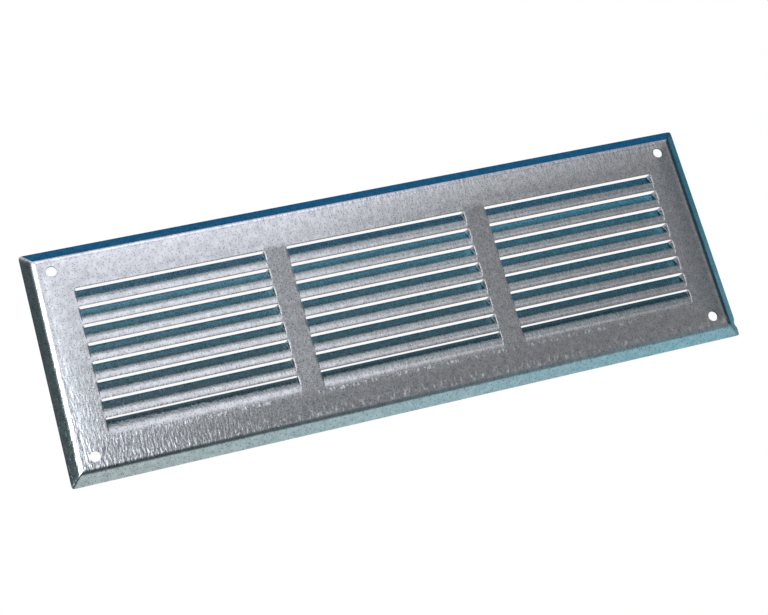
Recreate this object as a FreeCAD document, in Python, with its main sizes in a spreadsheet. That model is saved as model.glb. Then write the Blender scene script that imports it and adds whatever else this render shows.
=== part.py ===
import FreeCAD, Part
import math
import os
import Sketcher

# Louvred vent panel, pressed from one sheet of galvanised steel.
# Millimetres. It lies on its rim: +Z is out of the face, +X along the louvres,
# +Y the way the slits look. The origin is the middle of the rim's plane.

SIZES = {
    "overallLength": 300,       # rim to rim, along X
    "overallWidth": 100,        # rim to rim, along Y
    "overallHeight": 5,         # rim to face
    "sheetThickness": 0.7,
    "flangeTilt": 43,           # degrees below the face
    "bendRadius": 4,            # outside of the bend from face to flange
    "cornerEase": 0.2,          # pressed corners are this much rounder than the bend needs
    "holeDiameter": 4.5,
    "holeSpacingX": 277,
    "holeSpacingY": 79.5,
    "louvreLength": 80.8,       # along X, at the face
    "louvreReach": 7.1,         # from the slit down to the bend line
    "louvreDepth": 3.6,         # front of the lip below the face
    "louvreRadius": 6,          # front of the bend at the foot of the louvre
    "lipSetback": 0.2,          # how far the lip pulls back from its slit
    "endWallRun": 1.2,          # plan width of the drawn end wall
    "louvreRows": 8,
    "rowPitch": 8,
    "louvreColumns": 3,
    "columnPitch": 90.7,
    "fieldDrop": 0.95,          # louvre field's middle below the panel's middle
    "nickDepth": 0.6,           # nick in the rim beside one corner
    "nickRadius": 2.5,
    "nickFromCorner": 5.6,
}

FLANGE_REACH = "(Dims.overallHeight - Dims.sheetThickness * cos(Dims.flangeTilt)) / tan(Dims.flangeTilt)"
FIRST_SLIT = "(Dims.rowPitch * (Dims.louvreRows - 1) + Dims.louvreReach) / 2 - Dims.fieldDrop"
FIRST_COLUMN = "Dims.columnPitch * (Dims.louvreColumns - 1) / 2"
CORNER_RADIUS = ("Dims.sheetThickness + Dims.cornerEase"
                 " + (Dims.bendRadius - Dims.sheetThickness) / (1 + cos(Dims.flangeTilt))")
WALL_ANGLE = "atan(Dims.louvreDepth / Dims.endWallRun)"

doc = FreeCAD.newDocument("LouvredPanel")
dims = doc.addObject("Spreadsheet::Sheet", "Dims")
for row, (name, value) in enumerate(SIZES.items(), start=1):
    dims.set(f"A{row}", name)
    dims.set(f"B{row}", str(value))
    dims.setAlias(f"B{row}", name)
doc.recompute()

body = doc.addObject("PartDesign::Body", "louvred_panel")
body.Label = "louvred_panel"


def originFeature(role):
    """One of the body's own planes or axes, found by its role."""
    return next(feature for feature in body.Origin.OriginFeatures if feature.Role == role)


def newSketch(name, planeRole, offset="0"):
    """An empty sketch on an origin plane, moved along the plane's normal."""
    sketch = body.newObject("Sketcher::SketchObject", name)
    sketch.AttachmentSupport = [(originFeature(planeRole), "")]
    sketch.MapMode = "FlatFace"
    sketch.setExpression("AttachmentOffset.Base.z", offset)
    doc.recompute()
    return sketch


def value(expression):
    """What an expression on the spreadsheet comes to now."""
    result = dims.evalExpression(expression.replace("Dims.", ""))
    return float(getattr(result, "Value", result))


def drive(sketch, expression, kind, *where):
    """Add one dimension to a sketch and bind it to an expression."""
    index = sketch.addConstraint(Sketcher.Constraint(kind, *where, value(expression)))
    sketch.setExpression(f"Constraints[{index}]", expression)


def point(x, y):
    return FreeCAD.Vector(x, y, 0)


def addLine(sketch, start, end):
    return sketch.addGeometry(Part.LineSegment(point(*start), point(*end)))


def joinInLoop(sketch, edges):
    """Join the end of each edge to the start of the next, all the way round."""
    for edge, following in zip(edges, edges[1:] + edges[:1]):
        sketch.addConstraint(Sketcher.Constraint("Coincident", edge, 2, following, 1))


def edgesWhere(shape, test):
    """Names of the edges whose two ends pass a test."""
    names = []
    for number, edge in enumerate(shape.Edges, start=1):
        ends = [vertex.Point for vertex in edge.Vertexes]
        if len(ends) == 2 and test(*ends):
            names.append(f"Edge{number}")
    return names


# --- the tray: a flat face whose four flanges slope down to the rim ---

def addRectangle(sketch, spanX, spanY):
    """A rectangle about the origin, its two spans driven by expressions."""
    halfX = value(spanX) / 2
    halfY = value(spanY) / 2
    corners = [(-halfX, -halfY), (halfX, -halfY), (halfX, halfY), (-halfX, halfY)]
    sides = [addLine(sketch, a, b) for a, b in zip(corners, corners[1:] + corners[:1])]
    joinInLoop(sketch, sides)
    for side, direction in zip(sides, ["Horizontal", "Vertical", "Horizontal", "Vertical"]):
        sketch.addConstraint(Sketcher.Constraint(direction, side))
    sketch.addConstraint(Sketcher.Constraint("Symmetric", sides[0], 1, sides[2], 1, -1, 1))
    drive(sketch, spanX, "DistanceX", sides[0], 1, sides[0], 2)
    drive(sketch, spanY, "DistanceY", sides[1], 1, sides[1], 2)


def roundedBlock(kind, name, topZ, inset, shrink):
    """Add or cut a tapered block, its corners and its top edge rounded."""
    sketch = newSketch(f"{name}Outline", "XY_Plane", topZ)
    addRectangle(sketch, f"Dims.overallLength - 2 * ({inset})", f"Dims.overallWidth - 2 * ({inset})")

    block = body.newObject(kind, name)
    block.Profile = sketch
    block.Reversed = kind == "PartDesign::Pad"
    block.setExpression("Length", "Dims.overallHeight + 2 * Dims.sheetThickness")
    block.setExpression("TaperAngle", "90 - Dims.flangeTilt")
    doc.recompute()

    top = value(topZ)
    slanted = edgesWhere(block.Shape, lambda a, b: abs(max(a.z, b.z) - top) < 1e-4 < abs(a.z - b.z))
    rounded = addFillet(f"{name}Corners", block, slanted, f"{CORNER_RADIUS} - {shrink}")
    level = edgesWhere(rounded.Shape, lambda a, b: abs(a.z - top) + abs(b.z - top) < 1e-4)
    return addFillet(f"{name}Bend", rounded, level, f"Dims.bendRadius - {shrink}")


def addFillet(name, base, edges, radius):
    fillet = body.newObject("PartDesign::Fillet", name)
    fillet.Base = (base, edges)
    fillet.setExpression("Radius", radius)
    doc.recompute()
    return fillet


roundedBlock("PartDesign::Pad", "Block", "Dims.overallHeight", FLANGE_REACH, "0")
inside = f"{FLANGE_REACH} + Dims.sheetThickness * tan(Dims.flangeTilt / 2)"
tray = roundedBlock("PartDesign::Pocket", "Hollow", "Dims.overallHeight - Dims.sheetThickness",
                    inside, "Dims.sheetThickness")


# --- the rim: the sheet's edge stands square to the flange ---

def shearRim(name, planeRole, halfSpan, mirrorRole):
    """Cut one side's edge square to its flange, and the far side's with it."""
    lowest = f"{halfSpan} - Dims.sheetThickness * sin(Dims.flangeTilt)"
    sketch = newSketch(f"{name}Edge", planeRole)
    x = value(lowest)
    reach = 5 * value("Dims.sheetThickness")
    rise = reach / math.tan(math.radians(value("Dims.flangeTilt")))
    corners = [(x, 0), (x, -reach), (x + reach, -reach), (x + reach, rise)]
    sides = [addLine(sketch, a, b) for a, b in zip(corners, corners[1:] + corners[:1])]
    joinInLoop(sketch, sides)
    for side, direction in zip(sides, ["Vertical", "Horizontal", "Vertical"]):
        sketch.addConstraint(Sketcher.Constraint(direction, side))
    sketch.addConstraint(Sketcher.Constraint("PointOnObject", sides[0], 1, -1))
    drive(sketch, lowest, "DistanceX", -1, 1, sides[0], 1)
    drive(sketch, "5 * Dims.sheetThickness", "DistanceY", sides[0], 2, sides[0], 1)
    drive(sketch, "5 * Dims.sheetThickness", "DistanceX", sides[1], 1, sides[1], 2)
    drive(sketch, "5 * Dims.sheetThickness / tan(Dims.flangeTilt)", "DistanceY", sides[0], 1, sides[2], 2)

    cut = body.newObject("PartDesign::Pocket", name)
    cut.Profile = sketch
    cut.Type = "ThroughAll"
    cut.Midplane = True
    doc.recompute()
    mirrored = body.newObject("PartDesign::Mirrored", f"{name}Mirrored")
    mirrored.Originals = [cut]
    mirrored.MirrorPlane = (originFeature(mirrorRole), [""])
    body.Tip = mirrored
    doc.recompute()


shearRim("EndShear", "XZ_Plane", "Dims.overallLength / 2", "YZ_Plane")
shearRim("SideShear", "YZ_Plane", "Dims.overallWidth / 2", "XZ_Plane")


# --- holes and the nick ---

def cutRound(name, centreX, centreY, radius):
    """A round cut straight through the sheet."""
    sketch = newSketch(f"{name}Circle", "XY_Plane", "Dims.overallHeight")
    centre = point(value(centreX), value(centreY))
    circle = sketch.addGeometry(Part.Circle(centre, FreeCAD.Vector(0, 0, 1), value(radius)))
    drive(sketch, centreX, "DistanceX", -1, 1, circle, 3)
    drive(sketch, centreY, "DistanceY", -1, 1, circle, 3)
    drive(sketch, radius, "Radius", circle)
    cut = body.newObject("PartDesign::Pocket", name)
    cut.Profile = sketch
    cut.Type = "ThroughAll"
    body.Tip = cut
    doc.recompute()
    return cut


def repeat(name, originals, *steps):
    """Repeat features along the panel: each step is a mirror plane or an axis, count and pitch."""
    pattern = body.newObject("PartDesign::MultiTransform", name)
    pattern.Originals = originals
    transforms = []
    for number, (role, count, pitch) in enumerate(steps, start=1):
        if count is None:
            step = body.newObject("PartDesign::Mirrored", f"{name}Mirror{number}")
            step.MirrorPlane = (originFeature(role), [""])
        else:
            step = body.newObject("PartDesign::LinearPattern", f"{name}Row{number}")
            step.Direction = (originFeature(role), [""])
            step.Reversed = role == "Y_Axis"
            step.setExpression("Length", f"{pitch} * ({count} - 1)")
            step.setExpression("Occurrences", count)
        transforms.append(step)
    pattern.Transformations = transforms
    body.Tip = pattern
    doc.recompute()
    return pattern


hole = cutRound("ScrewHole", "Dims.holeSpacingX / 2", "Dims.holeSpacingY / 2", "Dims.holeDiameter / 2")
repeat("ScrewHoles", [hole], ("YZ_Plane", None, None), ("XZ_Plane", None, None))
cutRound("RimNick", "Dims.overallLength / 2 + Dims.nickRadius - Dims.nickDepth",
         "Dims.overallWidth / -2 + Dims.nickFromCorner", "Dims.nickRadius")


# --- the louvres: each is slit along its top edge and drawn inwards below it ---

def louvreSection(name, across, lift, skin):
    """One section of a louvre: the room in front of the sheet, or with a skin, the sheet's back."""
    back = skin != "0"
    raised = f"(Dims.overallHeight + {lift})"
    topHeight = f"{raised} - Dims.sheetThickness / 2" if back else f"{raised} + Dims.sheetThickness"
    slit = value(FIRST_SLIT)
    top = value(topHeight)
    arcRadius = value(f"Dims.louvreRadius - {skin}")
    frontLip = (slit - value("Dims.lipSetback"), value(f"{raised} - Dims.louvreDepth"))
    footY = value(f"{FIRST_SLIT} - Dims.louvreReach")
    centre = (footY, value(f"{raised} - Dims.louvreRadius"))
    overY = frontLip[0] - centre[0]
    overZ = frontLip[1] - centre[1]
    slope = math.atan2(overY, overZ) - math.acos(value("Dims.louvreRadius") / math.hypot(overY, overZ))
    outward = (math.sin(slope), math.cos(slope))
    lip = (frontLip[0] - value(skin) * outward[0], frontLip[1] - value(skin) * outward[1])
    shoulder = frontLip if back else (slit, frontLip[1])
    arcStart = (centre[0] + arcRadius * outward[0], centre[1] + arcRadius * outward[1])
    circle = Part.Circle(point(*centre), FreeCAD.Vector(0, 0, 1), arcRadius)

    sketch = newSketch(name, "YZ_Plane", across)
    drop = addLine(sketch, (slit, top), shoulder)
    edge = addLine(sketch, shoulder, lip)
    blade = addLine(sketch, lip, arcStart)
    bend = sketch.addGeometry(Part.ArcOfCircle(circle, math.pi / 2 - slope, math.pi / 2))
    rise = addLine(sketch, (footY, centre[1] + arcRadius), (footY, top))
    lid = addLine(sketch, (footY, top), (slit, top))

    for first, second in [(drop, edge), (edge, blade), (bend, rise), (rise, lid), (lid, drop)]:
        sketch.addConstraint(Sketcher.Constraint("Coincident", first, 2, second, 1))
    sketch.addConstraint(Sketcher.Constraint("Tangent", blade, 2, bend, 1))
    sketch.addConstraint(Sketcher.Constraint("Vertical", bend, 3, bend, 2))
    sketch.addConstraint(Sketcher.Constraint("Vertical", rise))
    sketch.addConstraint(Sketcher.Constraint("Horizontal", lid))
    drive(sketch, f"Dims.louvreRadius - {skin}", "Radius", bend)
    drive(sketch, f"{FIRST_SLIT} - Dims.louvreReach", "DistanceX", -1, 1, bend, 2)
    drive(sketch, f"{raised} - {skin}", "DistanceY", -1, 1, bend, 2)
    drive(sketch, topHeight, "DistanceY", -1, 1, lid, 1)
    drive(sketch, FIRST_SLIT, "DistanceX", -1, 1, lid, 2)
    drive(sketch, f"{raised} - Dims.louvreDepth", "DistanceY", -1, 1, edge, 1)
    if back:
        drive(sketch, f"{FIRST_SLIT} - Dims.lipSetback", "DistanceX", -1, 1, edge, 1)
        sketch.addConstraint(Sketcher.Constraint("Perpendicular", edge, blade))
        drive(sketch, skin, "Distance", edge)
    else:
        sketch.addConstraint(Sketcher.Constraint("Vertical", drop))
        sketch.addConstraint(Sketcher.Constraint("Horizontal", edge))
        drive(sketch, "Dims.lipSetback", "DistanceX", edge, 2, edge, 1)
    doc.recompute()
    return sketch


def louvreLoft(kind, name, skin, spread):
    """A louvre's front or back: straight along its length, its ends rising through the face."""
    half = f"(Dims.louvreLength / 2 + {spread})"
    stations = [
        (f"-{half}", "Dims.louvreDepth"),
        (f"Dims.endWallRun - {half}", "0"),
        (f"{half} - Dims.endWallRun", "0"),
        (half, "Dims.louvreDepth"),
    ]
    sections = [
        louvreSection(f"{name}Section{number}", f"{across} - {FIRST_COLUMN}", lift, skin)
        for number, (across, lift) in enumerate(stations, start=1)
    ]
    loft = body.newObject(kind, name)
    loft.Profile = sections[0]
    loft.Sections = sections[1:]
    loft.Ruled = True
    body.Tip = loft
    doc.recompute()
    return loft


backSpread = f"Dims.sheetThickness * tan({WALL_ANGLE} / 2)"
louvreBack = louvreLoft("PartDesign::AdditiveLoft", "LouvreBack", "Dims.sheetThickness", backSpread)
louvreFront = louvreLoft("PartDesign::SubtractiveLoft", "LouvreFront", "0", "0")
repeat("Louvres", [louvreBack, louvreFront],
       ("Y_Axis", "Dims.louvreRows", "Dims.rowPitch"),
       ("X_Axis", "Dims.louvreColumns", "Dims.columnPitch"))


# --- level: nothing stands above the face or below the rim ---

def trimBeyond(name, level, upward):
    """Cut away whatever lies beyond a level."""
    sketch = newSketch(f"{name}Outline", "XY_Plane", level)
    addRectangle(sketch, "2 * Dims.overallLength", "2 * Dims.overallWidth")
    trim = body.newObject("PartDesign::Pocket", name)
    trim.Profile = sketch
    trim.Type = "ThroughAll"
    trim.Reversed = upward
    body.Tip = trim
    doc.recompute()


trimBeyond("FaceTrim", "Dims.overallHeight", True)
trimBeyond("RimTrim", "0", False)


for obj in doc.Objects:
    if "Invalid" in obj.State or "Error" in obj.State:
        raise RuntimeError(f"{obj.Name} did not build: {obj.getStatusString()}")
if body.Shape.isNull() or not body.Shape.isValid():
    raise RuntimeError(f"{body.Name} has no valid shape")

os.makedirs("parts", exist_ok=True)
body.Shape.exportStep(f"parts/{body.Name}.step")
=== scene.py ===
import bpy
import math
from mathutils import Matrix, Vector


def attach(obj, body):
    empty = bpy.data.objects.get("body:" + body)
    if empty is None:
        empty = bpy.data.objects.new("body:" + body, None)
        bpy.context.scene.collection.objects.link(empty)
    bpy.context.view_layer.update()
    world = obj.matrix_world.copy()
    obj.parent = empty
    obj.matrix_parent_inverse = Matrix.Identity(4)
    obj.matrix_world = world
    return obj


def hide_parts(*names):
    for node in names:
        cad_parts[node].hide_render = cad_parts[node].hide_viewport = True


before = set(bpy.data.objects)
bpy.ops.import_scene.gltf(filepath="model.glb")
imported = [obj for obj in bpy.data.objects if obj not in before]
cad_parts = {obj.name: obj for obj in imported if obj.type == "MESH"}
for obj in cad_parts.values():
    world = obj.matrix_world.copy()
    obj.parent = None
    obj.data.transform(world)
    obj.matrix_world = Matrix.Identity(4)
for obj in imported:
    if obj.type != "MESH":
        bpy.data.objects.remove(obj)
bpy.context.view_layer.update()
print("frame loaded")


def toLinear(hexText):    # sRGB hex to the linear colour that Blender's sockets hold
    parts = [int(hexText[start:start + 2], 16) / 255 for start in (0, 2, 4)]
    linear = [part / 12.92 if part <= 0.04045 else ((part + 0.055) / 1.055) ** 2.4
              for part in parts]
    return linear + [1.0]


# Sources are a list in socket order, or socket -> value or output
def addNode(tree, kind, sources=(), **settings):
    node = tree.nodes.new(kind)
    for name, setting in settings.items():
        setattr(node, name, setting)
    pairs = sources.items() if isinstance(sources, dict) else enumerate(sources)
    for socket, source in pairs:
        if isinstance(source, bpy.types.NodeSocket):
            tree.links.new(source, node.inputs[socket])
        else:
            node.inputs[socket].default_value = source
    return node.outputs


# The sheet's sizes, in metres and degrees, in the frame's own axes
panel = {
    "length": 0.300,
    "width": 0.100,
    "height": 0.005,
    "thickness": 0.0007,
    "flangeTilt": 43,
    "bendRadius": 0.004,
    "cornerPower": 12,          # a higher power makes the pressed corners sharper
    "nickY": -0.0444,           # nick in the right rim, beside the front corner
    "nickHalf": 0.0018,
    "nickDepth": 0.0006,
    "nickPower": 4.0,           # keeps the nick near the rim
    "rimClear": 0.00008,        # keeps the cut edge just off the floor
    "sharpAngle": 50,
    "borderStart": (0.1315, 0.0325),    # beyond these the border eases down towards its bends
    "crown": 0.0004,
    "bendSteps": 8,
    "flangeSteps": 8,
}
louvre = {
    "rows": 8,
    "rowPitch": 0.008,
    "firstSlit": 0.0306,
    "columns": 3,
    "columnPitch": 0.0907,
    "halfLength": 0.0404,
    "reach": 0.0071,
    "depth": 0.0036,
    "bendRadius": 0.006,
    "lipSetback": 0.0002,
    "endWallSlope": 4.5,        # rise over run of the drawn end walls
    "endWallEase": 0.0010,      # rounding where an end wall meets face and blade
    "rollOver": 0.0005,         # width of the sheared edge's roll-over above each slit
    "rollOverDrop": 0.00007,
    "depthScatter": 0.05,       # louvre to louvre
    "firstRowDepth": 0.88,
    "lastRowDepth": 0.70,
    "rollOverReach": 1000.0,    # per metre: the roll-over is full 1 mm inside the slit's ends
    "seed": 11,
    "plainLines": [0, 0.006, 0.012, 0.018, 0.024, 0.030, 0.035, 0.0375, 0.0385],
    "endLines": (0.0016, 0.0002),       # close lines from inside to outside the slit's end
    "endSteps": 12,
    "lastLine": 0.0009,                 # and one beyond them
    "bladeSteps": 4,
    "footSteps": 8,
    "rollOverSteps": 4,
}
hole = {"x": 0.1385, "y": 0.03975, "radius": 0.00225, "patch": 0.0038, "patchSteps": 6}
sameLine = 1e-6     # lines of the blank closer than this are one line
micron = 1e-6
slack = {
    "divisor": 1e-9,        # keeps a division from reaching zero
    "flat": 1e-7,           # still counts as flat
    "row": 0.001,           # puts a point on a slit into the row above it
    "count": 0.4,           # whole numbers closer than this are the same
    "columnStride": 32.0,   # more than the rows, so every louvre has its own number
}

tilt = math.radians(panel["flangeTilt"])
bendRun = panel["bendRadius"] * math.sin(tilt)
bendDrop = panel["bendRadius"] * (1 - math.cos(tilt))
rimHeight = panel["thickness"] * math.cos(tilt) + panel["rimClear"]
flangeRun = bendRun + (panel["height"] - rimHeight - bendDrop) / math.tan(tilt)
flatHalfX = panel["length"] / 2 - flangeRun
flatHalfY = panel["width"] / 2 - flangeRun

# The blade leaves the lip straight and runs tangent into the bend at its foot
acrossLip = louvre["reach"] - louvre["lipSetback"]
aboveCentre = louvre["bendRadius"] - louvre["depth"]
bladeAngle = (math.atan2(acrossLip, aboveCentre)
              - math.acos(louvre["bendRadius"] / math.hypot(acrossLip, aboveCentre)))
footRun = louvre["bendRadius"] * math.sin(bladeAngle)


# The blank is flat sheet with its slits sheared and its holes punched
def evenSteps(start, end, count):
    return [start + (end - start) * step / count for step in range(count + 1)]


def foldLines():    # distances beyond the flat, from the start of the bend to the rim
    bend = evenSteps(0, bendRun, panel["bendSteps"])
    return bend[:-1] + evenSteps(bendRun, flangeRun, panel["flangeSteps"])


def columnLines():
    half = louvre["halfLength"]
    inside, outside = louvre["endLines"]
    oneSide = louvre["plainLines"] + evenSteps(half - inside, half + outside, louvre["endSteps"])
    oneSide += [half + louvre["lastLine"]]
    local = sorted({-line for line in oneSide} | set(oneSide))
    first = -louvre["columnPitch"] * (louvre["columns"] - 1) / 2
    return [first + louvre["columnPitch"] * column + line
            for column in range(louvre["columns"]) for line in local]


def rowLines():    # each row from its roll-over down to the foot of its louvre
    rows = []
    for row in range(louvre["rows"]):
        slit = louvre["firstSlit"] - row * louvre["rowPitch"]
        footStart = louvre["reach"] - footRun
        below = evenSteps(louvre["lipSetback"], footStart, louvre["bladeSteps"])[:-1]
        below += evenSteps(footStart, louvre["reach"], louvre["footSteps"])
        above = evenSteps(0, louvre["rollOver"], louvre["rollOverSteps"])
        rows += [slit + step for step in above]
        rows += [slit - step for step in below]
    return rows


def sheetLines(flatHalf, holeAt, inner):
    folds = foldLines()
    patch = evenSteps(holeAt - hole["patch"], holeAt + hole["patch"], hole["patchSteps"])
    outer = [flatHalf + step for step in folds] + patch
    lines = inner + outer + [-line for line in outer]
    kept = []
    for line in sorted(lines):
        if not kept or line - kept[-1] > sameLine:
            kept.append(line)
    return kept


def nearAny(line, targets):
    return any(abs(line - target) < sameLine for target in targets)


def makeBlank():
    slits = [louvre["firstSlit"] - row * louvre["rowPitch"] for row in range(louvre["rows"])]
    lips = [slit - louvre["lipSetback"] for slit in slits]
    centres = [louvre["columnPitch"] * (column - (louvre["columns"] - 1) / 2)
               for column in range(louvre["columns"])]
    xs = sheetLines(flatHalfX, hole["x"], columnLines())
    ys = sheetLines(flatHalfY, hole["y"], rowLines())

    def inSlit(x):
        return any(abs(x - centre) < louvre["halfLength"] - sameLine for centre in centres)

    def inPatch(x, y):
        offX = abs(abs(x) - hole["x"])
        offY = abs(abs(y) - hole["y"])
        return offX < hole["patch"] and offY < hole["patch"]

    points = []
    grid = []
    for y in ys:
        line = []
        for x in xs:
            line.append(len(points))
            points.append((x, y, 0))
        grid.append(line)
    for level, y in enumerate(ys):
        if nearAny(y, lips):    # outside the slit its two edges are one line
            for place, x in enumerate(xs):
                if not inSlit(x):
                    grid[level][place] = grid[level + 1][place]
    faces = []
    for level in range(len(ys) - 1):
        for place in range(len(xs) - 1):
            middleX = (xs[place] + xs[place + 1]) / 2
            middleY = (ys[level] + ys[level + 1]) / 2
            if nearAny(ys[level], lips) or inPatch(middleX, middleY):
                continue
            faces.append((grid[level][place], grid[level][place + 1],
                          grid[level + 1][place + 1], grid[level + 1][place]))

    for signX in (-1, 1):
        for signY in (-1, 1):
            centre = (signX * hole["x"], signY * hole["y"])
            ring = []
            for level, y in enumerate(ys):
                for place, x in enumerate(xs):
                    offX = abs(x - centre[0])
                    offY = abs(y - centre[1])
                    if abs(max(offX, offY) - hole["patch"]) < sameLine:
                        angle = math.atan2(y - centre[1], x - centre[0])
                        ring.append((angle, grid[level][place]))
            ring.sort()
            edge = []
            for angle, index in ring:
                edge.append((index, len(points)))
                points.append((centre[0] + hole["radius"] * math.cos(angle),
                               centre[1] + hole["radius"] * math.sin(angle), 0))
            for (outerA, innerA), (outerB, innerB) in zip(edge, edge[1:] + edge[:1]):
                faces.append((innerA, outerA, outerB, innerB))

    used = sorted({index for face in faces for index in face})
    renumbered = {index: number for number, index in enumerate(used)}
    mesh = bpy.data.meshes.new("blank")
    mesh.from_pydata([points[index] for index in used], [],
                     [[renumbered[index] for index in face] for face in faces])
    mesh.shade_smooth()
    return bpy.data.objects.new("louvredSheet", mesh)


# The press folds the flanges and draws every louvre by one rule
pressInputs = {
    "Height": panel["height"],
    "Flat half X": flatHalfX,
    "Flat half Y": flatHalfY,
    "Flange run": flangeRun,
    "Bend radius": panel["bendRadius"],
    "Bend run": bendRun,
    "Flange slope": math.tan(tilt),
    "Corner power": panel["cornerPower"],
    "Border start X": panel["borderStart"][0],
    "Border start Y": panel["borderStart"][1],
    "Crown": panel["crown"],
    "Nick Y": panel["nickY"],
    "Nick half": panel["nickHalf"],
    "Nick depth": panel["nickDepth"],
    "Rows": louvre["rows"],
    "Row pitch": louvre["rowPitch"],
    "First slit": louvre["firstSlit"],
    "Columns": louvre["columns"],
    "Column pitch": louvre["columnPitch"],
    "Half length": louvre["halfLength"],
    "Reach": louvre["reach"],
    "Foot radius": louvre["bendRadius"],
    "Foot run": footRun,
    "Blade slope": math.tan(bladeAngle),
    "End wall slope": louvre["endWallSlope"],
    "End wall ease": louvre["endWallEase"],
    "Roll-over": louvre["rollOver"],
    "Roll-over drop": louvre["rollOverDrop"],
    "Depth scatter": louvre["depthScatter"],
    "First row depth": louvre["firstRowDepth"],
    "Last row depth": louvre["lastRowDepth"],
    "Seed": louvre["seed"],
}


def makePress(steel):
    tree = bpy.data.node_groups.new("press", "GeometryNodeTree")
    tree.is_modifier = True
    for way in ("INPUT", "OUTPUT"):
        tree.interface.new_socket("Geometry", in_out=way, socket_type="NodeSocketGeometry")
    for name in pressInputs:
        socket = "NodeSocketInt" if name == "Seed" else "NodeSocketFloat"
        tree.interface.new_socket(name, in_out="INPUT", socket_type=socket)
    given = addNode(tree, "NodeGroupInput")
    maths = "ShaderNodeMath"

    place = addNode(tree, "ShaderNodeSeparateXYZ", [addNode(tree, "GeometryNodeInputPosition")[0]])
    x, y = place["X"], place["Y"]
    acrossX = addNode(tree, maths, [x], operation="ABSOLUTE")[0]
    acrossY = addNode(tree, maths, [y], operation="ABSOLUTE")[0]

    # how far a point lies beyond the flat, the corners rounded by a power rule
    pastX = addNode(tree, maths, [acrossX, given["Flat half X"]], operation="SUBTRACT")[0]
    pastY = addNode(tree, maths, [acrossY, given["Flat half Y"]], operation="SUBTRACT")[0]
    beyondX = addNode(tree, maths, [pastX, 0.0], operation="MAXIMUM")[0]
    beyondY = addNode(tree, maths, [pastY, 0.0], operation="MAXIMUM")[0]
    beyond = addNode(tree, maths, [beyondX, beyondY], operation="MAXIMUM")[0]
    divisor = addNode(tree, maths, [beyond, slack["divisor"]], operation="MAXIMUM")[0]
    shareX = addNode(tree, maths, [beyondX, divisor], operation="DIVIDE")[0]
    shareY = addNode(tree, maths, [beyondY, divisor], operation="DIVIDE")[0]
    powerX = addNode(tree, maths, [shareX, given["Corner power"]], operation="POWER")[0]
    powerY = addNode(tree, maths, [shareY, given["Corner power"]], operation="POWER")[0]
    powers = addNode(tree, maths, [powerX, powerY], operation="ADD")[0]
    atLeastOne = addNode(tree, maths, [powers, 1.0], operation="MAXIMUM")[0]
    root = addNode(tree, maths, [-1.0, given["Corner power"]], operation="DIVIDE")[0]
    shrink = addNode(tree, maths, [atLeastOne, root], operation="POWER")[0]
    pull = addNode(tree, maths, [1.0, shrink], operation="SUBTRACT")[0]
    pullX = addNode(tree, maths, [beyondX, pull], operation="MULTIPLY")[0]
    pullY = addNode(tree, maths, [beyondY, pull], operation="MULTIPLY")[0]

    # the flange falls round its bend, then straight to the rim
    inBend = addNode(tree, maths, [beyond, given["Bend run"]], operation="MINIMUM")[0]
    bendShare = addNode(tree, maths, [inBend, given["Bend radius"]], operation="DIVIDE")[0]
    bendTurn = addNode(tree, maths, [bendShare], operation="ARCSINE")[0]
    bendSide = addNode(tree, maths, [bendTurn], operation="COSINE")[0]
    bendDip = addNode(tree, maths, [1.0, bendSide], operation="SUBTRACT")[0]
    bendFall = addNode(tree, maths, [bendDip, given["Bend radius"]], operation="MULTIPLY")[0]
    straight = addNode(tree, maths, [beyond, inBend], operation="SUBTRACT")[0]
    flangeFall = addNode(tree, maths, [straight, given["Flange slope"], bendFall],
                         operation="MULTIPLY_ADD")[0]

    # the border is slightly crowned, which the flange takes up again
    crowned = []
    for across, start, end in [(acrossX, "Border start X", "Flat half X"),
                               (acrossY, "Border start Y", "Flat half Y")]:
        border = addNode(tree, "ShaderNodeMapRange", {
            "Value": across, "From Min": given[start], "From Max": given[end]})[0]
        crowned.append(addNode(tree, maths, [border, 2.0], operation="POWER")[0])
    crownShape = addNode(tree, maths, crowned, operation="MAXIMUM")[0]
    rimShare = addNode(tree, maths, [beyond, given["Flange run"]], operation="DIVIDE")[0]
    crownLeft = addNode(tree, maths, [1.0, rimShare], operation="SUBTRACT")[0]
    crownHere = addNode(tree, maths, [crownShape, crownLeft], operation="MULTIPLY")[0]
    fall = addNode(tree, maths, [crownHere, given["Crown"], flangeFall],
                   operation="MULTIPLY_ADD")[0]

    # the nick pinches the right rim
    fromNick = addNode(tree, maths, [y, given["Nick Y"]], operation="SUBTRACT")[0]
    nickShare = addNode(tree, maths, [fromNick, given["Nick half"]], operation="DIVIDE")[0]
    nickSquare = addNode(tree, maths, [nickShare, nickShare], operation="MULTIPLY")[0]
    nickShape = addNode(tree, maths, [1.0, nickSquare], operation="SUBTRACT", use_clamp=True)[0]
    rimPinch = addNode(tree, maths, [rimShare, panel["nickPower"]], operation="POWER")[0]
    onRight = addNode(tree, maths, [x, given["Flat half X"]], operation="GREATER_THAN")[0]
    nickReach = addNode(tree, maths, [onRight, given["Nick depth"]], operation="MULTIPLY")[0]
    nickHere = addNode(tree, maths, [nickShape, rimPinch], operation="MULTIPLY")[0]
    nickPull = addNode(tree, maths, [nickHere, nickReach, pullX], operation="MULTIPLY_ADD")[0]

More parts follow.
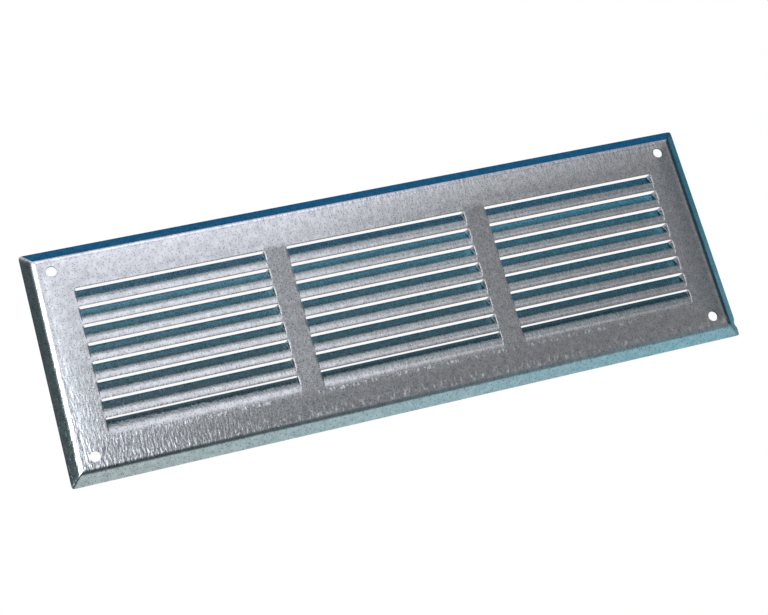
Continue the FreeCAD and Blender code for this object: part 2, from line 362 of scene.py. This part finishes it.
    # rows are counted up from the last slit, each with the land above its slit and the blade
    # of the row above it
    rowGaps = addNode(tree, maths, [given["Rows"], 1.0], operation="SUBTRACT")[0]
    allRows = addNode(tree, maths, [rowGaps, given["Row pitch"]], operation="MULTIPLY")[0]
    belowFirst = addNode(tree, maths, [y, given["First slit"]], operation="SUBTRACT")[0]
    aboveLast = addNode(tree, maths, [belowFirst, allRows], operation="ADD")[0]
    upRows = addNode(tree, maths, [aboveLast, given["Row pitch"]], operation="DIVIDE")[0]
    nudged = addNode(tree, maths, [upRows, slack["row"]], operation="ADD")[0]
    row = addNode(tree, maths, [nudged], operation="FLOOR")[0]
    inRow = addNode(tree, maths, [upRows, row], operation="SUBTRACT")[0]
    aboveSlit = addNode(tree, maths, [inRow, given["Row pitch"]], operation="MULTIPLY")[0]
    belowSlit = addNode(tree, maths, [given["Row pitch"], aboveSlit], operation="SUBTRACT")[0]
    rowMiddle = addNode(tree, maths, [rowGaps, 2.0], operation="DIVIDE")[0]
    slitHalf = addNode(tree, maths, [rowMiddle, slack["count"]], operation="ADD")[0]
    hasSlit = addNode(tree, maths, [row, rowMiddle, slitHalf], operation="COMPARE")[0]
    nextRow = addNode(tree, maths, [row, 1.0], operation="ADD")[0]
    hasBlade = addNode(tree, maths, [nextRow, rowMiddle, slitHalf], operation="COMPARE")[0]

    # columns are counted from the left
    columnGaps = addNode(tree, maths, [given["Columns"], 1.0], operation="SUBTRACT")[0]
    columnMiddle = addNode(tree, maths, [columnGaps, 2.0], operation="DIVIDE")[0]
    rightColumns = addNode(tree, maths, [x, given["Column pitch"]], operation="DIVIDE")[0]
    columnHere = addNode(tree, maths, [rightColumns, columnMiddle], operation="ADD")[0]
    nearColumn = addNode(tree, maths, [columnHere], operation="ROUND")[0]
    fromFirst = addNode(tree, maths, [nearColumn, 0.0], operation="MAXIMUM")[0]
    column = addNode(tree, maths, [fromFirst, columnGaps], operation="MINIMUM")[0]
    offColumn = addNode(tree, maths, [columnHere, column], operation="SUBTRACT")[0]
    offCentre = addNode(tree, maths, [offColumn, given["Column pitch"]], operation="MULTIPLY")[0]
    fromCentre = addNode(tree, maths, [offCentre], operation="ABSOLUTE")[0]
    fromEnd = addNode(tree, maths, [given["Half length"], fromCentre], operation="SUBTRACT")[0]

    # a blade is straight from its lip and bends into the face at its foot
    reachLeft = addNode(tree, maths, [given["Reach"], belowSlit], operation="SUBTRACT")[0]
    fromFoot = addNode(tree, maths, [reachLeft, 0.0], operation="MAXIMUM")[0]
    inFoot = addNode(tree, maths, [fromFoot, given["Foot run"]], operation="MINIMUM")[0]
    footShare = addNode(tree, maths, [inFoot, given["Foot radius"]], operation="DIVIDE")[0]
    footTurn = addNode(tree, maths, [footShare], operation="ARCSINE")[0]
    footSide = addNode(tree, maths, [footTurn], operation="COSINE")[0]
    footDip = addNode(tree, maths, [1.0, footSide], operation="SUBTRACT")[0]
    footFall = addNode(tree, maths, [footDip, given["Foot radius"]], operation="MULTIPLY")[0]
    straightBlade = addNode(tree, maths, [fromFoot, inFoot], operation="SUBTRACT")[0]
    blade = addNode(tree, maths, [straightBlade, given["Blade slope"], footFall],
                    operation="MULTIPLY_ADD")[0]

    # no two are drawn quite alike, and the first and last rows are shallower
    louvreNumber = addNode(tree, maths, [column, slack["columnStride"], row],
                           operation="MULTIPLY_ADD")[0]
    chance = addNode(tree, "FunctionNodeRandomValue", {
        2: -1.0, 3: 1.0, "ID": louvreNumber, "Seed": given["Seed"]}, data_type="FLOAT")[1]
    scatter = addNode(tree, maths, [chance, given["Depth scatter"], 1.0],
                      operation="MULTIPLY_ADD")[0]
    isLast = addNode(tree, maths, [row, -1.0, slack["count"]], operation="COMPARE")[0]
    lastEase = addNode(tree, maths, [given["Last row depth"], 1.0], operation="SUBTRACT")[0]
    isFirst = addNode(tree, maths, [nextRow, rowGaps, slack["count"]], operation="COMPARE")[0]
    firstEase = addNode(tree, maths, [given["First row depth"], 1.0], operation="SUBTRACT")[0]
    easedLast = addNode(tree, maths, [isLast, lastEase, scatter], operation="MULTIPLY_ADD")[0]
    rowShare = addNode(tree, maths, [isFirst, firstEase, easedLast],
                       operation="MULTIPLY_ADD")[0]
    drawn = addNode(tree, maths, [blade, rowShare], operation="MULTIPLY")[0]

    # end walls, eased into the face and into the blade
    wallRise = addNode(tree, maths, [fromEnd, given["End wall slope"]], operation="MULTIPLY")[0]
    wall = addNode(tree, maths, [wallRise, 0.0, given["End wall ease"]], operation="SMOOTH_MAX")[0]
    walled = addNode(tree, maths, [drawn, wall, given["End wall ease"]], operation="SMOOTH_MIN")[0]
    hollow = addNode(tree, maths, [walled, 0.0], operation="MAXIMUM")[0]
    louvreFall = addNode(tree, maths, [hollow, hasBlade], operation="MULTIPLY")[0]

    # the land above each slit rolls over where the shear bit
    edgeShare = addNode(tree, maths, [aboveSlit, given["Roll-over"]], operation="DIVIDE")[0]
    edgeNear = addNode(tree, maths, [1.0, edgeShare], operation="SUBTRACT", use_clamp=True)[0]
    edgeCurve = addNode(tree, maths, [edgeNear, 2.0], operation="POWER")[0]
    edgeEnd = addNode(tree, maths, [fromEnd, louvre["rollOverReach"]], operation="MULTIPLY",
                      use_clamp=True)[0]
    rollShape = addNode(tree, maths, [edgeCurve, edgeEnd], operation="MULTIPLY")[0]
    rollReach = addNode(tree, maths, [hasSlit, given["Roll-over drop"]], operation="MULTIPLY")[0]
    pressed = addNode(tree, maths, [rollShape, rollReach, louvreFall], operation="MULTIPLY_ADD")[0]
    onFlat = addNode(tree, maths, [beyond, slack["flat"]], operation="LESS_THAN")[0]
    pressedHere = addNode(tree, maths, [pressed, onFlat, fall], operation="MULTIPLY_ADD")[0]

    newX = addNode(tree, maths, [acrossX, nickPull], operation="SUBTRACT")[0]
    newY = addNode(tree, maths, [acrossY, pullY], operation="SUBTRACT")[0]
    sideX = addNode(tree, maths, [x], operation="SIGN")[0]
    sideY = addNode(tree, maths, [y], operation="SIGN")[0]
    moved = addNode(tree, "ShaderNodeCombineXYZ", {
        "X": addNode(tree, maths, [newX, sideX], operation="MULTIPLY")[0],
        "Y": addNode(tree, maths, [newY, sideY], operation="MULTIPLY")[0],
        "Z": addNode(tree, maths, [given["Height"], pressedHere], operation="SUBTRACT")[0],
    })[0]
    shaped = addNode(tree, "GeometryNodeSetPosition", {
        "Geometry": given["Geometry"], "Position": moved})[0]
    whole = addNode(tree, "GeometryNodeRealizeInstances", {"Geometry": shaped})[0]
    finished = addNode(tree, "GeometryNodeSetMaterial", {"Geometry": whole, "Material": steel})[0]
    addNode(tree, "NodeGroupOutput", {"Geometry": finished})
    return tree


# Bright galvanised sheet, skin-passed and then pressed: zinc over steel, satin and a little wavy,
# with a fine grain, small dark pits and rubbed streaks. Its slopes and flanges carry painted
# reflections of a blue surround, its bends painted highlights and painted shade, and its lips and
# hole walls painted shade, as colour.
zinc = {
    "face": "A1A3A7",
    "bladeReflectionUpper": "82BCD0",     # painted reflection on the blades, deepening from the top rows to the low ones
    "bladeReflectionLower": "76929C",
    "firstRowReflection": "7DAFC8",     # painted reflection on the topmost row
    "bladeRightShade": "C2EEF7",     # painted shade: what the right end takes off all of them
    "lip": "557C8A",            # painted shade on the lowest of each blade
    # painted highlight along the top bend
    "topBendHighlight": "BEC2CE",
    "topReflection": "2C5C82",        # painted reflection on the flange that looks to +Y
    # painted shade along the right bend, painted reflection on the right flange
    "rightBendShade": "3A5763",
    "rightReflectionUpper": "47717E",
    "rightReflectionLower": "6A8F9C",
    # painted shade along the front bend, lighter to the right, and painted reflection on the front
    # flange
    "frontBendLeft": "586367",
    "frontBendRight": "93ABB4",
    "frontReflectionLeft": "A9B7B9",
    "frontReflectionRight": "82ACB8",
    "leftBendHighlight": "DDE0E4",       # painted highlight, almost white
    # painted reflection on the left flange
    "leftReflection": "526265",
    # painted glints
    "fleck": "DCE0E4",
    # painted shade on the walls of the holes
    "holeShade": "1E2124",
    "edgeTint": "A8C0CC",       # how the metal darkens towards grazing view
    "barLean": 0.055,           # shading only: the bars between the columns lean forward this much
    "landLean": 0.045,          # shading only: the lands between the louvres lie back
    "lowBorderLean": 0.035,     # shading only: the front border leans forward
    "rough": (0.20, 0.32),
    "grainMm": 0.7,
    "grainMicrons": 5,
    "streakMm": (1.0, 3.0),     # across and along
    "streakMicrons": 170,
    "cloudMm": 2.8,
    "pitMm": 1.8,               # from pit to pit
    "pitSize": 0.17,            # share of that distance
    "pitCore": 0.6,             # share of a pit that is darkest
    "pitShade": 0.55,
    "fleckShare": (0.55, 0.64),     # of the streaks, where a fleck starts and is full
    "noiseSpan": (0.3, 0.7),        # of a noise, the part that is used
    "grainShade": (0.90, 1.06),     # darkest and brightest
    "cloudShade": (0.89, 1.11),
    "streakShade": (0.93, 1.07),
}
# Axis, where it starts and is full, then the two shares if they aren't 0 and 1
ramps = {
    "drawnIn": ("Z", 0.0050, 0.0030),
    "alongX": ("X", -0.12, 0.12),
    "alongY": ("Y", 0.024, -0.024),
    "rubbedX": ("X", -0.02, -0.13),             # the rubbed corner is the front left one
    "rubbedY": ("Y", 0.02, -0.04),
    "inLouvres": ("Z", 0.0049, 0.0046, 0.22, 0.60),
    "towardBend": ("Y", -0.0400, -0.0426, 0.0, 0.8),
    "offBend": ("Y", -0.0442, -0.0435),
    "fleckFade": ("X", 0.02, 0.131, 1.0, 0.35),
    "upBar": ("Y", -0.025, 0.025),
    "belowTop": ("Y", 0.0335, 0.0300),
    "aboveFoot": ("Y", -0.0340, -0.0325),
    "lowBorder": ("Y", -0.0325, -0.0365),
}
# Axis, limit and which side of it
parts = {
    "atTop": ("Y", 0.042, "GREATER_THAN"),
    "atFront": ("Y", -0.042, "LESS_THAN"),
    "atRight": ("X", 0.133, "GREATER_THAN"),
    "atLeft": ("X", -0.133, "LESS_THAN"),
    "firstRow": ("Y", 0.0232, "GREATER_THAN"),
    "onFace": ("Z", 0.0044, "GREATER_THAN"),
}
# Painted light: colours that stand for what the slopes reflect, for highlights on the bends and for
# shade at the lips and bends, to leave out where the panel has real surroundings. Each has its
# colour, what it follows (the normal's lean along an axis, or the height of the spot), where it
# starts and is full, and which part of the sheet it is on.
paintedLight = [
    ("blade", "Y", 0.17, 0.43, "drawnIn"),
    ("lip", "height", 0.0023, 0.0014, "drawnIn"),
    ("topBendHighlight", "Y", 0.05, 0.16, "atTop"),
    ("topReflection", "Y", 0.36, 0.52, "atTop"),
    ("rightBendShade", "X", 0.012, 0.15, "atRight"),
    ("rightReflection", "X", 0.50, 0.66, "atRight"),
    ("leftBendHighlight", "X", -0.040, -0.15, "atLeft"),
    ("frontBend", "Y", -0.05, -0.25, "atFront"),
    ("frontReflection", "Y", -0.45, -0.62, "atFront"),
    ("leftReflection", "X", -0.42, -0.66, "atLeft"),
]
limits = {
    "upright": 0.2,             # normals within this of level belong to cut edges
    "outAtHoles": 0.134,
    "lastFoot": (-0.0342, 0.0007),      # the line below the last louvres, and half its width
    "fieldHalf": 0.1305,
    "barHalf": (0.0056, 0.0044),
    "fieldEdge": (0.1320, 0.1308),
}


def makeSteel():
    steel = bpy.data.materials.new("galvanisedSteel")
    steel.use_nodes = True
    tree = steel.node_tree
    tree.nodes.clear()
    maths = "ShaderNodeMath"
    mapRange = "ShaderNodeMapRange"
    mixing = "ShaderNodeMix"
    spot = addNode(tree, "ShaderNodeTexCoord")["Object"]
    normal = addNode(tree, "ShaderNodeNewGeometry")["Normal"]
    lean = addNode(tree, "ShaderNodeSeparateXYZ", [normal])
    place = addNode(tree, "ShaderNodeSeparateXYZ", [spot])

    where = {}
    for name, (axis, start, full, *shares) in ramps.items():
        low, high = shares or (0.0, 1.0)
        where[name] = addNode(tree, mapRange, {
            "Value": place[axis], "From Min": start, "From Max": full,
            "To Min": low, "To Max": high})[0]
    for name, (axis, limit, side) in parts.items():
        where[name] = addNode(tree, maths, [place[axis], limit], operation=side)[0]

    # the colours of the painted reflections, highlights and shade
    paintedTints = {name: toLinear(zinc[name])
              for name in ("lip", "topBendHighlight", "topReflection", "rightBendShade", "leftBendHighlight", "leftReflection")}
    for name, share, first, second in [
            ("blades", "alongY", "bladeReflectionUpper", "bladeReflectionLower"),
            ("rightReflection", "alongY", "rightReflectionUpper", "rightReflectionLower"),
            ("frontBend", "alongX", "frontBendLeft", "frontBendRight"),
            ("frontReflection", "alongX", "frontReflectionLeft", "frontReflectionRight")]:
        paintedTints[name] = addNode(tree, mixing, {
            0: where[share], 6: toLinear(zinc[first]), 7: toLinear(zinc[second])},
            data_type="RGBA")[2]
    blade = addNode(tree, mixing, {
        0: where["firstRow"], 6: paintedTints["blades"], 7: toLinear(zinc["firstRowReflection"])},
        data_type="RGBA")[2]
    # painted shade: the blades darken and cool towards the right end
    paintedTints["blade"] = addNode(tree, mixing, {
        0: where["alongX"], 6: blade, 7: toLinear(zinc["bladeRightShade"])},
        data_type="RGBA", blend_type="MULTIPLY")[2]

    colour = toLinear(zinc["face"])
    # painted reflections, highlights and shade laid over the metal's own colour
    for name, axis, start, full, part in paintedLight:
        leaning = place["Z"] if axis == "height" else lean[axis]
        ramp = addNode(tree, mapRange, {
            "Value": leaning, "From Min": start, "From Max": full})[0]
        share = addNode(tree, maths, [ramp, where[part]], operation="MULTIPLY")[0]
        colour = addNode(tree, mixing, {0: share, 6: colour, 7: paintedTints[name]},
                         data_type="RGBA")[2]

    # painted shade: the walls of the holes are darkened
    across = addNode(tree, maths, [place["X"]], operation="ABSOLUTE")[0]
    upright = addNode(tree, maths, [lean["Z"], 0.0, limits["upright"]], operation="COMPARE")[0]
    outAtHoles = addNode(tree, maths, [across, limits["outAtHoles"]],
                         operation="GREATER_THAN")[0]
    holeShadeMask = addNode(tree, maths, [upright, outAtHoles], operation="MULTIPLY")[0]
    colour = addNode(tree, mixing, {0: holeShadeMask, 6: colour, 7: toLinear(zinc["holeShade"])},
                     data_type="RGBA")[2]

    # the front left corner and the front bend are rubbed in streaks
    byFrontBend = addNode(tree, maths, [where["towardBend"], where["offBend"]],
                          operation="MULTIPLY")[0]
    rubbedCorner = addNode(tree, maths, [where["rubbedX"], where["rubbedY"], where["inLouvres"]],
                           operation="MULTIPLY_ADD")[0]
    rubbed = addNode(tree, maths, [rubbedCorner, byFrontBend], operation="MAXIMUM")[0]
    grain = addNode(tree, "ShaderNodeTexNoise", {
        "Vector": spot, "Scale": 1000 / zinc["grainMm"], "Detail": 2.0})[0]
    streakScale = [1000 / step for step in zinc["streakMm"]] + [1000 / zinc["streakMm"][0]]
    stretched = addNode(tree, "ShaderNodeVectorMath", [spot, streakScale],
                        operation="MULTIPLY")[0]
    streak = addNode(tree, "ShaderNodeTexNoise", {
        "Vector": stretched, "Scale": 1.0, "Detail": 2.0})[0]

    # painted glints: bright flecks lie along the front bend and below the last louvres
    footLine, footHalf = limits["lastFoot"]
    byLastFoot = addNode(tree, maths, [place["Y"], footLine, footHalf], operation="COMPARE")[0]
    besideField = addNode(tree, maths, [place["X"], 0.0, limits["fieldHalf"]],
                          operation="COMPARE")[0]
    underField = addNode(tree, maths, [byLastFoot, besideField], operation="MULTIPLY")[0]
    fleckRows = addNode(tree, maths, [byFrontBend, underField], operation="MAXIMUM")[0]
    fleckBand = addNode(tree, maths, [fleckRows, where["fleckFade"]], operation="MULTIPLY")[0]
    fleckStart, fleckFull = zinc["fleckShare"]
    fleckShape = addNode(tree, mapRange, {
        "Value": streak, "From Min": fleckStart, "From Max": fleckFull})[0]
    fleckHere = addNode(tree, maths, [fleckBand, fleckShape], operation="MULTIPLY")[0]
    fleck = addNode(tree, maths, [fleckHere, where["onFace"]], operation="MULTIPLY")[0]
    colour = addNode(tree, mixing, {0: fleck, 6: colour, 7: toLinear(zinc["fleck"])},
                     data_type="RGBA")[2]

    # grain, clouds and streaks shade it, the grain also sets how rough it is, and pits are darkest
    # in the middle
    noiseLow, noiseHigh = zinc["noiseSpan"]
    cloud = addNode(tree, "ShaderNodeTexNoise", {
        "Vector": spot, "Scale": 1000 / zinc["cloudMm"], "Detail": 1.0})[0]
    spans = []
    for noise, span in [(grain, zinc["grainShade"]), (cloud, zinc["cloudShade"]),
                        (streak, zinc["streakShade"]), (grain, zinc["rough"])]:
        spans.append(addNode(tree, mapRange, {
            "Value": noise, "From Min": noiseLow, "From Max": noiseHigh,
            "To Min": span[0], "To Max": span[1]})[0])
    shade, cloudy, streaky, rough = spans
    clouded = addNode(tree, maths, [shade, cloudy], operation="MULTIPLY")[0]
    shaded = addNode(tree, maths, [clouded, streaky], operation="MULTIPLY")[0]
    cells = addNode(tree, "ShaderNodeTexVoronoi", {"Vector": spot, "Scale": 1000 / zinc["pitMm"]},
                    voronoi_dimensions="2D")
    pit = addNode(tree, mapRange, {
        "Value": cells["Distance"], "From Min": zinc["pitSize"] * zinc["pitCore"],
        "From Max": zinc["pitSize"], "To Min": zinc["pitShade"]})[0]
    pitted = addNode(tree, maths, [shaded, pit], operation="MULTIPLY")[0]
    colour = addNode(tree, "ShaderNodeVectorMath", {0: colour, "Scale": pitted},
                     operation="SCALE")[0]

    grained = addNode(tree, "ShaderNodeBump", {
        "Height": grain, "Distance": zinc["grainMicrons"] * micron})[0]
    streakDepth = addNode(tree, maths, [rubbed, zinc["streakMicrons"] * micron],
                          operation="MULTIPLY")[0]
    streaked = addNode(tree, "ShaderNodeBump", {
        "Height": streak, "Distance": streakDepth, "Normal": grained})[0]

    # shading only: the bars lean forward, more so higher up, the lands lie back and the front
    # border leans forward
    fromBar = addNode(tree, maths, [across, louvre["columnPitch"] / 2], operation="SUBTRACT")[0]
    offBar = addNode(tree, maths, [fromBar], operation="ABSOLUTE")[0]
    barStart, barFull = limits["barHalf"]
    onBar = addNode(tree, mapRange, {
        "Value": offBar, "From Min": barStart, "From Max": barFull})[0]
    barShare = addNode(tree, maths, [onBar, where["upBar"]], operation="MULTIPLY")[0]
    barHere = addNode(tree, maths, [barShare, where["belowTop"]], operation="MULTIPLY")[0]
    barTurn = addNode(tree, maths, [barHere, -zinc["barLean"]], operation="MULTIPLY")[0]
    offBars = addNode(tree, maths, [1.0, onBar], operation="SUBTRACT")[0]
    fieldOut, fieldIn = limits["fieldEdge"]
    inField = addNode(tree, mapRange, {
        "Value": across, "From Min": fieldOut, "From Max": fieldIn})[0]
    inRows = addNode(tree, maths, [where["belowTop"], where["aboveFoot"]],
                     operation="MULTIPLY")[0]
    landShare = addNode(tree, maths, [offBars, inField], operation="MULTIPLY")[0]
    landHere = addNode(tree, maths, [landShare, inRows], operation="MULTIPLY")[0]
    borderTurn = addNode(tree, maths, [where["lowBorder"], -zinc["lowBorderLean"], barTurn],
                         operation="MULTIPLY_ADD")[0]
    turn = addNode(tree, maths, [landHere, zinc["landLean"], borderTurn],
                   operation="MULTIPLY_ADD")[0]
    turnY = addNode(tree, "ShaderNodeCombineXYZ", {"Y": turn})[0]
    turned = addNode(tree, "ShaderNodeVectorMath", [streaked, turnY], operation="ADD")[0]
    shader = addNode(tree, "ShaderNodeBsdfPrincipled", {
        "Base Color": colour, "Metallic": 1.0, "Roughness": rough,
        "Specular Tint": toLinear(zinc["edgeTint"]), "Normal": turned})[0]
    addNode(tree, "ShaderNodeOutputMaterial", {"Surface": shader})
    return steel


steel = makeSteel()
sheet = makeBlank()
bpy.context.scene.collection.objects.link(sheet)
print("blank cut:", len(sheet.data.polygons), "faces")

press = sheet.modifiers.new("press", "NODES")
press.node_group = makePress(steel)
for item in press.node_group.interface.items_tree:
    if item.item_type == "SOCKET" and item.in_out == "INPUT" and item.name in pressInputs:
        press[item.identifier] = pressInputs[item.name]
wall = sheet.modifiers.new("wall", "SOLIDIFY")
wall.thickness = panel["thickness"]
wall.offset = -1

evaluated = sheet.evaluated_get(bpy.context.evaluated_depsgraph_get())
solidSheet = bpy.data.objects.new("louvredSheet", bpy.data.meshes.new_from_object(evaluated))
bpy.data.objects.remove(sheet)
solidSheet.name = "louvredSheet"
sharpAngle = math.radians(panel["sharpAngle"])
solidSheet.data.set_sharp_from_angle(angle=sharpAngle)      # cut edges stay crisp
bpy.context.scene.collection.objects.link(solidSheet)
print("panel pressed:", len(solidSheet.data.polygons), "faces")

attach(solidSheet, "root")
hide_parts("louvred_panel")


studio = {
    "floorHalf": 6.0,
    "floor": "F4F4F2",
    "floorGlow": 0.96,      # the floor's own light, seen directly and in the metal: no shadow shows
    "world": "F4F5F6",
    "worldStrength": 0.5,
}
lamps = {
    "overhead": {"place": (0.04, 0.745, 1.0), "aim": (0.04, 0.745, 0.0),
                 "size": (0.52, 0.91), "radiance": 1.85, "colour": "FAFAFF"},
    "back": {"place": (-0.30, 2.00, 1.20), "aim": (-0.30, 0.0, 0.0),
             "size": (2.60, 1.00), "radiance": 0.60, "colour": "FFFAF8"},
    "left": {"place": (-0.23, 0.01, 1.0), "aim": (-0.23, 0.01, 0.0),
             "size": (0.26, 0.56), "radiance": 1.9, "colour": "F4FAFF"},
    "farLeft": {"place": (-0.93, 0.01, 1.0), "aim": (-0.93, 0.01, 0.0),
                "size": (1.14, 0.90), "radiance": 4.6, "colour": "F4FAFF"},
    "right": {"place": (0.46, 0.56, 1.0), "aim": (0.46, 0.56, 0.0),
              "size": (0.32, 0.28), "radiance": 0.95, "colour": "FFFFFF"},
    "front": {"place": (0.25, -1.10, 0.38), "aim": (0.25, 0.0, 0.0),
              "size": (1.60, 0.50), "radiance": 0.60, "colour": "FFFFFF"},
}
view = {
    "lens": 78.5,
    "clipStart": 0.01,
    "place": (-0.1992, -0.1779, 0.6671),
    "turn": (17.983, -11.764, -15.918),     # degrees about X, Y and Z
}


def makeFloor():
    half = studio["floorHalf"]
    corners = [(-half, -half, 0), (half, -half, 0), (half, half, 0), (-half, half, 0)]
    mesh = bpy.data.meshes.new("floor")
    mesh.from_pydata(corners, [], [(0, 1, 2, 3)])
    floor = bpy.data.objects.new("floor", mesh)
    bpy.context.scene.collection.objects.link(floor)
    paper = bpy.data.materials.new("whitePaper")    # matt white sweep, seen almost pure white
    paper.use_nodes = True
    tree = paper.node_tree
    tree.nodes.clear()
    ray = addNode(tree, "ShaderNodeLightPath")
    maths = "ShaderNodeMath"
    direct = addNode(tree, maths, [ray["Is Camera Ray"], ray["Is Glossy Ray"]],
                     operation="MAXIMUM")[0]
    seen = addNode(tree, maths, [direct, ray["Is Transmission Ray"]], operation="MAXIMUM")[0]
    glow = addNode(tree, maths, [seen, studio["floorGlow"]], operation="MULTIPLY")[0]
    matt = addNode(tree, "ShaderNodeBsdfDiffuse", [toLinear(studio["floor"])])[0]
    bright = addNode(tree, "ShaderNodeEmission", [[1, 1, 1, 1], 1.0])[0]
    mixed = addNode(tree, "ShaderNodeMixShader", [glow, matt, bright])[0]
    addNode(tree, "ShaderNodeOutputMaterial", {"Surface": mixed})
    mesh.materials.append(paper)


def makeLight():
    world = bpy.data.worlds.new("studio")
    world.use_nodes = True
    background = world.node_tree.nodes["Background"]
    background.inputs["Color"].default_value = toLinear(studio["world"])
    background.inputs["Strength"].default_value = studio["worldStrength"]
    bpy.context.scene.world = world
    for name, sizes in lamps.items():
        lamp = bpy.data.lights.new(name, "AREA")
        lamp.shape = "RECTANGLE"
        lamp.color = toLinear(sizes["colour"])[:3]
        lamp.size, lamp.size_y = sizes["size"]
        lamp.energy = sizes["radiance"] * math.pi * lamp.size * lamp.size_y
        softbox = bpy.data.objects.new(name, lamp)
        softbox.location = sizes["place"]
        away = softbox.location - Vector(sizes["aim"])
        softbox.rotation_euler = away.to_track_quat("Z", "Y").to_euler()
        bpy.context.scene.collection.objects.link(softbox)


def makeCamera():
    lens = bpy.data.cameras.new("camera")
    lens.lens = view["lens"]
    lens.clip_start = view["clipStart"]
    camera = bpy.data.objects.new("camera", lens)
    camera.location = view["place"]
    camera.rotation_euler = [math.radians(angle) for angle in view["turn"]]
    bpy.context.scene.collection.objects.link(camera)
    bpy.context.scene.camera = camera


makeFloor()
makeLight()
makeCamera()
bpy.context.scene.view_settings.view_transform = "Standard"
print("studio set")
